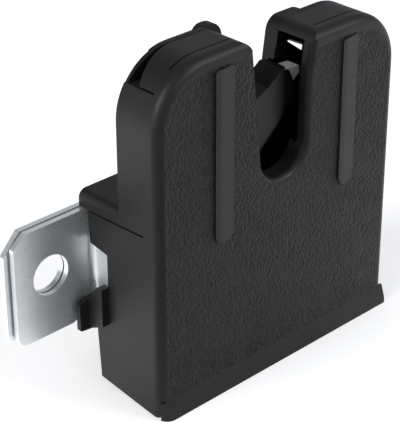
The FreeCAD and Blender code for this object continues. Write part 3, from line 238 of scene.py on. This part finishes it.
def noise(nodes, links, place, scale, detail=2.0, roughness=0.5, distortion=0.0):
    node = nodes.new("ShaderNodeTexNoise")
    node.inputs["Scale"].default_value = scale
    node.inputs["Detail"].default_value = detail
    node.inputs["Roughness"].default_value = roughness
    node.inputs["Distortion"].default_value = distortion
    links.new(place, node.inputs["Vector"])
    return node.outputs["Fac"]


def tint(nodes, links, shader, value, dark, light):
    ramp = nodes.new("ShaderNodeValToRGB")
    ramp.color_ramp.elements[0].position = 0.3
    ramp.color_ramp.elements[0].color = (*dark, 1)
    ramp.color_ramp.elements[1].position = 0.7
    ramp.color_ramp.elements[1].color = (*light, 1)
    links.new(value, ramp.inputs["Fac"])
    links.new(ramp.outputs["Color"], shader.inputs["Base Color"])


def emboss(nodes, links, shader, height, distance, strength=1.0, under=None):
    bump = nodes.new("ShaderNodeBump")
    bump.inputs["Strength"].default_value = strength
    bump.inputs["Distance"].default_value = distance
    links.new(height, bump.inputs["Height"])
    if under is not None:
        links.new(under, bump.inputs["Normal"])
    links.new(bump.outputs["Normal"], shader.inputs["Normal"])
    return bump.outputs["Normal"]


def dress(material, *names):
    for name in names:
        for slot in nodes_by_name[name].material_slots:
            slot.material = material


satin_roughness = 0.45
cover_black, nodes, links, shader = new_finish(
    "cover_black", (0.010, 0.010, 0.0103), satin_roughness, specular=0.25)
place = nodes.new("ShaderNodeTexCoord").outputs["Object"]
axes = nodes.new("ShaderNodeSeparateXYZ")
links.new(place, axes.inputs[0])
across, depth, height = axes.outputs["X"], axes.outputs["Y"], axes.outputs["Z"]
facing = nodes.new("ShaderNodeSeparateXYZ")
links.new(nodes.new("ShaderNodeNewGeometry").outputs["Normal"], facing.inputs[0])
tilted, flat = -0.985, -0.999
rib_side, front_face = -0.02236, -0.02230
lip_top, grain_foot = 0.0049, 0.0056
front_facing = fade(nodes, links, facing.outputs["Y"], tilted, flat)
below_rib = fade(nodes, links, depth, rib_side, front_face)
above_lip = fade(nodes, links, height, lip_top, grain_foot)

# The smooth band round each shoulder is about 2.6 mm wide at the side and 3.9 mm wide on top.
shoulder_x, left_shoulder_z, right_shoulder_z = 0.0274, 0.0788, 0.0738
grain_radius, smooth_radius = 0.0118, 0.0124


def inside_shoulder(past_left, past_top):
    """One inside the rounded shoulder, nought in the smooth band along its edge."""
    sideways = maths(nodes, links, "MAXIMUM", past_left, 0.0)
    upwards = maths(nodes, links, "MAXIMUM", past_top, 0.0)
    square = maths(nodes, links, "MULTIPLY", sideways, sideways)
    square = maths(nodes, links, "ADD", square, maths(nodes, links, "MULTIPLY", upwards, upwards))
    return fade(nodes, links, maths(nodes, links, "SQRT", square, 0.0), smooth_radius, grain_radius)


right_half = fade(nodes, links, across, 0.0, 0.0016)
past_left_top = maths(nodes, links, "SUBTRACT", height, left_shoulder_z)
past_right_top = maths(nodes, links, "SUBTRACT", height, right_shoulder_z)
past_right_top = maths(nodes, links, "MULTIPLY", past_right_top, right_half)
left_shoulder = inside_shoulder(maths(nodes, links, "SUBTRACT", -shoulder_x, across), past_left_top)
right_shoulder = inside_shoulder(maths(nodes, links, "SUBTRACT", across, shoulder_x), past_right_top)
grain_area = maths(nodes, links, "MULTIPLY", front_facing, below_rib)
for edge in (above_lip, left_shoulder, right_shoulder):
    grain_area = maths(nodes, links, "MULTIPLY", grain_area, edge)
warp = nodes.new("ShaderNodeTexNoise")
warp.inputs["Scale"].default_value = 900.0
warp.inputs["Detail"].default_value = 2.0
links.new(place, warp.inputs["Vector"])
warp_shift = nodes.new("ShaderNodeVectorMath")
warp_shift.operation = "SCALE"
warp_shift.inputs["Scale"].default_value = 0.0006
links.new(warp.outputs["Color"], warp_shift.inputs[0])
warped = nodes.new("ShaderNodeVectorMath")
warped.operation = "ADD"
links.new(place, warped.inputs[0])
links.new(warp_shift.outputs[0], warped.inputs[1])
cells = nodes.new("ShaderNodeTexVoronoi")
cells.feature = "SMOOTH_F1"
cells.inputs["Scale"].default_value = 1280.0
cells.inputs["Smoothness"].default_value = 0.6
links.new(warped.outputs[0], cells.inputs["Vector"])
pebble = maths(nodes, links, "SUBTRACT", 1.0, cells.outputs["Distance"])
wrinkle_share = 0.7
grain_mean = 0.92
wrinkle = noise(nodes, links, place, scale=1900.0, detail=3.0, roughness=0.6, distortion=0.8)
grain = maths(nodes, links, "ADD", pebble, maths(nodes, links, "MULTIPLY", wrinkle, wrinkle_share))
grain = maths(nodes, links, "SUBTRACT", grain, grain_mean)
patches = noise(nodes, links, place, scale=210.0, detail=2.0)
depth_of_etch = fade(nodes, links, patches, low=0.36, high=0.62, to_low=0.8, to_high=1.15)
grain = maths(nodes, links, "MULTIPLY", grain, maths(nodes, links, "MULTIPLY", grain_area, depth_of_etch))
satin = noise(nodes, links, place, scale=3600.0, detail=2.0)
satin_normal = emboss(nodes, links, shader, satin, distance=0.00002, strength=0.35)
emboss(nodes, links, shader, grain, distance=0.00125, under=satin_normal)
cloud = noise(nodes, links, place, scale=34.0, detail=3.0)
tint(nodes, links, shader, cloud, dark=(0.0088, 0.0088, 0.0091), light=(0.0114, 0.0114, 0.0117))

# The etched grain is paler and a little rougher than the satin round it.
grain_paleness = 0.8
grain_roughness = 0.07
paler = maths(nodes, links, "ADD", maths(nodes, links, "MULTIPLY", grain_area, grain_paleness), 1.0)
scuffed = nodes.new("ShaderNodeVectorMath")
scuffed.operation = "SCALE"
links.new(shader.inputs["Base Color"].links[0].from_socket, scuffed.inputs[0])
links.new(paler, scuffed.inputs["Scale"])
links.new(scuffed.outputs[0], shader.inputs["Base Color"])
rough = maths(nodes, links, "MULTIPLY_ADD", grain_area, grain_roughness)
rough.node.inputs[2].default_value = satin_roughness
links.new(rough, shader.inputs["Roughness"])
dress(cover_black, "front_cover")


# Latch housing
# The second black moulding behind the cover's parting line, in a slightly duller glass-filled nylon.
def fine_finish(name, colour, roughness, mark_scale, mark_detail, mark_height, mark_strength,
                cloud_scale, cloud_detail, dark, light, mark_roughness=0.5, metallic=0.0, specular=0.5):
    """A finish with fine marks of the mould or the tool, and faint clouds between two tones."""
    material, nodes, links, shader = new_finish(name, colour, roughness, metallic, specular)
    place = nodes.new("ShaderNodeTexCoord").outputs["Object"]
    marks = noise(nodes, links, place, mark_scale, mark_detail, mark_roughness)
    emboss(nodes, links, shader, marks, mark_height, mark_strength)
    clouds = noise(nodes, links, place, cloud_scale, cloud_detail)
    tint(nodes, links, shader, clouds, dark, light)
    return material


housing_black = fine_finish(
    "housing_black", colour=(0.007, 0.007, 0.0073), roughness=0.5, specular=0.22,
    mark_scale=2900.0, mark_detail=3.0, mark_height=0.00003, mark_strength=0.4,
    cloud_scale=46.0, cloud_detail=3.0, dark=(0.0055, 0.0055, 0.0058), light=(0.0078, 0.0078, 0.0081),
)
dress(housing_black, "latch_housing")


# Slot buffer
# A crescent of black rubber, moulded with a dull skin, that the striker lands on.
rubber_black = fine_finish(
    "rubber_black", colour=(0.006, 0.006, 0.006), roughness=0.72, specular=0.22,
    mark_scale=1900.0, mark_detail=4.0, mark_roughness=0.7, mark_height=0.00006, mark_strength=0.6,
    cloud_scale=120.0, cloud_detail=3.0, dark=(0.004, 0.004, 0.004), light=(0.008, 0.008, 0.008),
)
dress(rubber_black, "slot_buffer")


# Frame plate and back plate
# Sheet steel, blanked and bent, then zinc plated and passivated to a pale blue. The plating keeps the fine
# rolling marks of the sheet and has faint cloudy streaks.
def zinc_finish(name, blue, roughness, rolling):
    """Plated sheet, with marks drawn out along the rolling and clouds from a blue to a white tone."""
    roughness_swing = 0.16
    material, nodes, links, shader = new_finish(name, (0.86, 0.88, 0.90), roughness, metallic=0.82)
    place = nodes.new("ShaderNodeTexCoord").outputs["Object"]
    stretch = nodes.new("ShaderNodeMapping")
    stretch.inputs["Scale"].default_value = rolling
    links.new(place, stretch.inputs["Vector"])
    rolled = noise(nodes, links, stretch.outputs[0], scale=1.0, detail=4.0, roughness=0.6)
    clouds = noise(nodes, links, place, scale=95.0, detail=4.0, roughness=0.6, distortion=0.6)
    tint(nodes, links, shader, clouds, dark=blue, light=(0.93, 0.945, 0.955))
    uneven = maths(nodes, links, "MULTIPLY_ADD", rolled, roughness_swing)
    uneven.node.inputs[2].default_value = roughness - roughness_swing / 2
    links.new(uneven, shader.inputs["Roughness"])
    emboss(nodes, links, shader, rolled, distance=0.000006, strength=0.1)
    return material


zinc = zinc_finish("zinc", blue=(0.83, 0.90, 0.93), roughness=0.3, rolling=(260.0, 260.0, 2600.0))
dress(zinc, "frame_plate")
zinc_rear = zinc_finish("zinc_rear", blue=(0.76, 0.83, 0.87), roughness=0.3, rolling=(2600.0, 260.0, 260.0))
dress(zinc_rear, "back_plate")


# Claw
# A blanked and plated steel core with black plastic moulded over both prongs. The hub, the lobe for the
# pawl and the nose of the lower prong are bare.
bare_steel = fine_finish(
    "bare_steel", colour=(0.85, 0.86, 0.88), roughness=0.4, metallic=0.4,
    mark_scale=900.0, mark_detail=5.0, mark_roughness=0.7, mark_height=0.00004, mark_strength=0.5,
    cloud_scale=240.0, cloud_detail=4.0, dark=(0.82, 0.84, 0.86), light=(0.93, 0.94, 0.95),
)
dress(bare_steel, "claw_core")

claw_black = fine_finish(
    "claw_black", colour=(0.006, 0.006, 0.0063), roughness=0.42, specular=0.28,
    mark_scale=2400.0, mark_detail=3.0, mark_height=0.00003, mark_strength=0.4,
    cloud_scale=75.0, cloud_detail=3.0, dark=(0.005, 0.005, 0.0053), light=(0.0078, 0.0078, 0.008),
)
dress(claw_black, "claw_jacket")


# Rivets and strap
# Turned steel rivets, headed over the strap and the frame plate, and a plain strip between them.
turned_steel = fine_finish(
    "turned_steel", colour=(0.56, 0.57, 0.58), roughness=0.34, metallic=1.0,
    mark_scale=1500.0, mark_detail=3.0, mark_height=0.00003, mark_strength=0.5,
    cloud_scale=300.0, cloud_detail=3.0, dark=(0.46, 0.47, 0.48), light=(0.64, 0.65, 0.66),
)
dress(turned_steel, "claw_pivot", "pawl_pivot", "front_strap")


# Pawl and release lever
# Blanked steel, tumbled and plated, with a trace of grease that dulls the zinc.
greased_steel = fine_finish(
    "greased_steel", colour=(0.5, 0.5, 0.5), roughness=0.38, metallic=1.0,
    mark_scale=1100.0, mark_detail=4.0, mark_height=0.00004, mark_strength=0.5,
    cloud_scale=160.0, cloud_detail=4.0, dark=(0.40, 0.40, 0.39), light=(0.60, 0.60, 0.59),
)
dress(greased_steel, "pawl", "release_lever")


# Springs
# Torsion springs of hard drawn wire, wound nearly once round the rivets and oiled. Each has one
# straight leg, and its end stops short of the leg.
spring_wire = fine_finish(
    "spring_wire", colour=(0.40, 0.40, 0.41), roughness=0.35, metallic=1.0,
    mark_scale=1800.0, mark_detail=3.0, mark_height=0.00002, mark_strength=0.5,
    cloud_scale=420.0, cloud_detail=3.0, dark=(0.34, 0.34, 0.35), light=(0.48, 0.48, 0.49),
)


def pick(piece, kind, wanted):
    """Select the faces or the corners of a piece that pass a test, and open it for editing."""
    bpy.ops.object.mode_set(mode="OBJECT")
    for group in (piece.data.vertices, piece.data.edges, piece.data.polygons):
        group.foreach_set("select", [False] * len(group))
    bpy.context.tool_settings.mesh_select_mode = (kind == "VERT", False, kind == "FACE")
    for part in piece.data.polygons if kind == "FACE" else piece.data.vertices:
        part.select = wanted(part)
    bpy.ops.object.mode_set(mode="EDIT")


def wind_spring(name, node, centre_x, centre_z, radius, wire, turns, leg):
    """Wire wound round a rivet along Y, with a leg along Z, made from one round section."""
    sides = 14
    steps_round = 60
    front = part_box(node)[0][1] + wire / 2
    bpy.ops.object.select_all(action="DESELECT")
    bpy.ops.mesh.primitive_circle_add(vertices=sides, radius=wire / 2)
    spring = bpy.context.active_object
    spring.name = name
    bpy.ops.object.mode_set(mode="EDIT")
    bpy.ops.mesh.select_all(action="SELECT")
    bpy.ops.transform.translate(value=(radius, 0, 0))
    bpy.ops.object.mode_set(mode="OBJECT")
    winding = spring.modifiers.new("winding", "SCREW")
    winding.axis = "Y"
    winding.angle = math.copysign(2 * math.pi * turns, leg)
    winding.screw_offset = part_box(node)[1][1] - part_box(node)[0][1] - wire
    winding.steps = steps_round
    winding.render_steps = steps_round
    bpy.ops.object.modifier_apply(modifier="winding")
    pick(spring, "VERT", lambda corner: corner.index < sides)
    bpy.ops.mesh.extrude_region_move(TRANSFORM_OT_translate={"value": (0, 0, leg)})
    bpy.ops.mesh.edge_face_add()
    last = len(spring.data.vertices) - sides
    pick(spring, "VERT", lambda corner: last <= corner.index < last + sides)
    bpy.ops.mesh.edge_face_add()
    bpy.ops.mesh.select_all(action="SELECT")
    bpy.ops.mesh.normals_make_consistent(inside=False)
    bpy.ops.object.mode_set(mode="OBJECT")
    spring.location = (centre_x, front, centre_z)
    bpy.ops.object.transform_apply(location=True, rotation=True, scale=True)
    bpy.ops.object.shade_smooth_by_angle(angle=math.radians(40))
    spring.data.materials.append(spring_wire)
    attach(spring, "housing")
    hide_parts(node)


wind_spring("claw_spring_wire", "claw_spring", centre_x=-0.0240, centre_z=0.0640,
            radius=0.0056, wire=0.0009, turns=0.92, leg=0.009)
wind_spring("pawl_spring_wire", "pawl_spring", centre_x=-0.0218, centre_z=0.0420,
            radius=0.0044, wire=0.0008, turns=0.92, leg=-0.009)


# Drive housing and lid
# Black glass-filled mouldings behind the frame plate.
drive_black = fine_finish(
    "drive_black", colour=(0.008, 0.008, 0.0083), roughness=0.5, specular=0.31,
    mark_scale=2100.0, mark_detail=4.0, mark_height=0.00005, mark_strength=0.5,
    cloud_scale=40.0, cloud_detail=4.0, dark=(0.0066, 0.0066, 0.0069), light=(0.0104, 0.0104, 0.0107),
)
dress(drive_black, "drive_housing", "drive_cover")


# Motor
# A drawn steel can with two flats and a natural plastic end cap.
motor_tin = fine_finish(
    "motor_tin", colour=(0.58, 0.59, 0.60), roughness=0.32, metallic=1.0,
    mark_scale=700.0, mark_detail=4.0, mark_height=0.00003, mark_strength=0.5,
    cloud_scale=110.0, cloud_detail=3.0, dark=(0.50, 0.51, 0.52), light=(0.64, 0.65, 0.66),
)
dress(motor_tin, "motor_can")

cap_white = fine_finish(
    "cap_white", colour=(0.62, 0.61, 0.56), roughness=0.5,
    mark_scale=1600.0, mark_detail=3.0, mark_height=0.00003, mark_strength=0.4,
    cloud_scale=90.0, cloud_detail=3.0, dark=(0.56, 0.55, 0.50), light=(0.66, 0.65, 0.60),
)
dress(cap_white, "motor_cap")
dress(turned_steel, "motor_shaft", "wheel_shaft")


# Worm and wheel
# A turned brass worm and a wheel moulded in natural acetal.
worm_brass = fine_finish(
    "worm_brass", colour=(0.62, 0.46, 0.20), roughness=0.28, metallic=1.0,
    mark_scale=1700.0, mark_detail=3.0, mark_height=0.00002, mark_strength=0.5,
    cloud_scale=260.0, cloud_detail=3.0, dark=(0.55, 0.40, 0.17), light=(0.68, 0.52, 0.24),
)
dress(worm_brass, "worm")

wheel_white = fine_finish(
    "wheel_white", colour=(0.72, 0.71, 0.66), roughness=0.4,
    mark_scale=1300.0, mark_detail=3.0, mark_height=0.00003, mark_strength=0.4,
    cloud_scale=80.0, cloud_detail=3.0, dark=(0.66, 0.65, 0.60), light=(0.76, 0.75, 0.70),
)
dress(wheel_white, "worm_wheel")


# Contacts
# Stamped brass strips from the motor's cap along the lid, and the brass connector pins that they end on.
contact_brass = fine_finish(
    "contact_brass", colour=(0.66, 0.52, 0.28), roughness=0.3, metallic=1.0,
    mark_scale=1500.0, mark_detail=3.0, mark_height=0.00002, mark_strength=0.5,
    cloud_scale=300.0, cloud_detail=3.0, dark=(0.58, 0.45, 0.22), light=(0.72, 0.58, 0.32),
)
dress(contact_brass, "contact_strips", "connector_pins")


# Switch
# A small sealed switch in black plastic with a red plunger.
switch_black = fine_finish(
    "switch_black", colour=(0.02, 0.02, 0.022), roughness=0.4,
    mark_scale=2400.0, mark_detail=3.0, mark_height=0.00002, mark_strength=0.4,
    cloud_scale=160.0, cloud_detail=3.0, dark=(0.017, 0.017, 0.019), light=(0.026, 0.026, 0.028),
)
dress(switch_black, "switch_body")

plunger_red = fine_finish(
    "plunger_red", colour=(0.42, 0.03, 0.025), roughness=0.35,
    mark_scale=1800.0, mark_detail=3.0, mark_height=0.00002, mark_strength=0.4,
    cloud_scale=200.0, cloud_detail=3.0, dark=(0.38, 0.025, 0.02), light=(0.46, 0.035, 0.03),
)
dress(plunger_red, "switch_plunger")


# Screws
# Cold headed and zinc plated, with pan heads and six lobed recesses. The lid's and the back plate's are
# driven from the back, and the three that hold the drive go through the frame plate from the front.
screw_zinc = fine_finish(
    "screw_zinc", colour=(0.80, 0.82, 0.85), roughness=0.3, metallic=0.85,
    mark_scale=1400.0, mark_detail=3.0, mark_height=0.00003, mark_strength=0.5,
    cloud_scale=350.0, cloud_detail=3.0, dark=(0.70, 0.74, 0.78), light=(0.84, 0.85, 0.86),
)


def head_screw(head_radius, head_height, shank_radius, length, side):
    """One screw along Z, turned to lie along Y. Side is 1 for a head at the back and -1 for one in front."""
    head_sides = 36
    edge_round, rim, lobe_reach, lobe_waist, lobe_depth, tip = 0.42, 0.12, 0.46, 0.78, 0.6, 0.45
    top = head_height / 2
    near_top = top * 0.99
    bpy.ops.object.select_all(action="DESELECT")
    bpy.ops.mesh.primitive_cylinder_add(vertices=head_sides, radius=head_radius, depth=head_height)
    screw = bpy.context.active_object
    pick(screw, "FACE", lambda face: face.center.z > near_top)
    bpy.ops.mesh.bevel(offset=head_height * edge_round, segments=5, affect="EDGES")
    pick(screw, "FACE", lambda face: face.center.z > near_top and face.area > head_radius ** 2)
    bpy.ops.mesh.inset(thickness=head_radius * rim)
    recess = head_radius * lobe_reach
    bpy.ops.object.mode_set(mode="OBJECT")
    inner = max(screw.data.polygons, key=lambda face: (round(face.center.z, 7), face.area))
    inner_corners = set(inner.vertices)
    pick(screw, "FACE", lambda face: face.index == inner.index)
    size = recess / max(Vector(screw.data.vertices[corner].co[:2]).length for corner in inner_corners)
    bpy.ops.mesh.inset(thickness=0)
    bpy.ops.transform.resize(value=(size, size, 1), center_override=(0, 0, top))
    bpy.ops.object.mode_set(mode="OBJECT")
    floor = [face for face in screw.data.polygons if face.select][0]
    floor_corners = set(floor.vertices)

    def between_lobes(corner):
        turn = math.degrees(math.atan2(corner.co.y, corner.co.x)) % 60
        return corner.index in floor_corners and 15 < turn < 45

    floor_index = floor.index
    pick(screw, "VERT", between_lobes)
    bpy.ops.transform.resize(value=(lobe_waist, lobe_waist, 1), center_override=(0, 0, top))
    pick(screw, "FACE", lambda face: face.index == floor_index)
    bpy.ops.mesh.extrude_region_move(TRANSFORM_OT_translate={"value": (0, 0, -head_height * lobe_depth)})
    pick(screw, "FACE", lambda face: face.center.z < -near_top)
    bpy.ops.mesh.inset(thickness=head_radius - shank_radius)
    shank = length - head_height - shank_radius
    bpy.ops.mesh.extrude_region_move(TRANSFORM_OT_translate={"value": (0, 0, -shank)})
    bpy.ops.mesh.extrude_region_move(TRANSFORM_OT_translate={"value": (0, 0, -shank_radius)})
    bpy.ops.transform.resize(value=(tip, tip, 1))
    bpy.ops.object.mode_set(mode="OBJECT")
    screw.rotation_euler = (-side * math.pi / 2, 0, 0)
    screw.location = (0, -side * top, 0)
    bpy.ops.object.transform_apply(location=True, rotation=True, scale=True)
    bpy.ops.object.shade_smooth_by_angle(angle=math.radians(35))
    screw.data.materials.append(screw_zinc)
    return screw


def drive_screws(name, node, places, head_radius, head_height, shank_radius, side=1):
    """Copies of one screw at all the places of a node, joined into one piece."""
    low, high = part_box(node)
    head_end = high[1] if side > 0 else low[1]
    first = head_screw(head_radius, head_height, shank_radius, high[1] - low[1], side)
    copies = [first]
    for place_x, place_z in places[1:]:
        copy = first.copy()
        copy.data = first.data.copy()
        bpy.context.scene.collection.objects.link(copy)
        copy.location = (place_x, head_end, place_z)
        copies.append(copy)
    first.location = (places[0][0], head_end, places[0][1])
    bpy.ops.object.select_all(action="DESELECT")
    for copy in copies:
        copy.select_set(True)
    bpy.context.view_layer.objects.active = first
    bpy.ops.object.join()
    bpy.ops.object.transform_apply(location=True, rotation=True, scale=True)
    first.name = name
    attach(first, "housing")
    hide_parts(node)


head_height = 0.0016
lid_low, lid_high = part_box("lid_screws")
lid_head, lid_shank, lid_middle = 0.0028, 0.0015, -0.0010
lid_places = [
    (lid_low[0] + lid_head, lid_high[2] - lid_head), (lid_high[0] - lid_head, lid_high[2] - lid_head),
    (lid_high[0] - lid_head, lid_low[2] + lid_head), (lid_middle, lid_high[2] - lid_head),
]
drive_screws("lid_screw_set", "lid_screws", lid_places, lid_head, head_height, lid_shank)
plate_low, plate_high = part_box("plate_screws")
plate_head, plate_shank = 0.0018, 0.0010
plate_places = [
    (plate_low[0] + plate_head, plate_low[2] + plate_head),
    (plate_high[0] - plate_head, plate_low[2] + plate_head),
    (plate_low[0] + plate_head, plate_high[2] - plate_head),
    (plate_high[0] - plate_head, plate_high[2] - plate_head),
]
drive_screws("plate_screw_set", "plate_screws", plate_places, plate_head, head_height, plate_shank)
frame_head, frame_shank = 0.0028, 0.0015
frame_places = [(-0.0280, 0.0300), (0.0290, 0.0060), (0.0295, 0.0325)]
drive_screws("frame_screw_set", "frame_screws", frame_places, frame_head, head_height, frame_shank, side=-1)
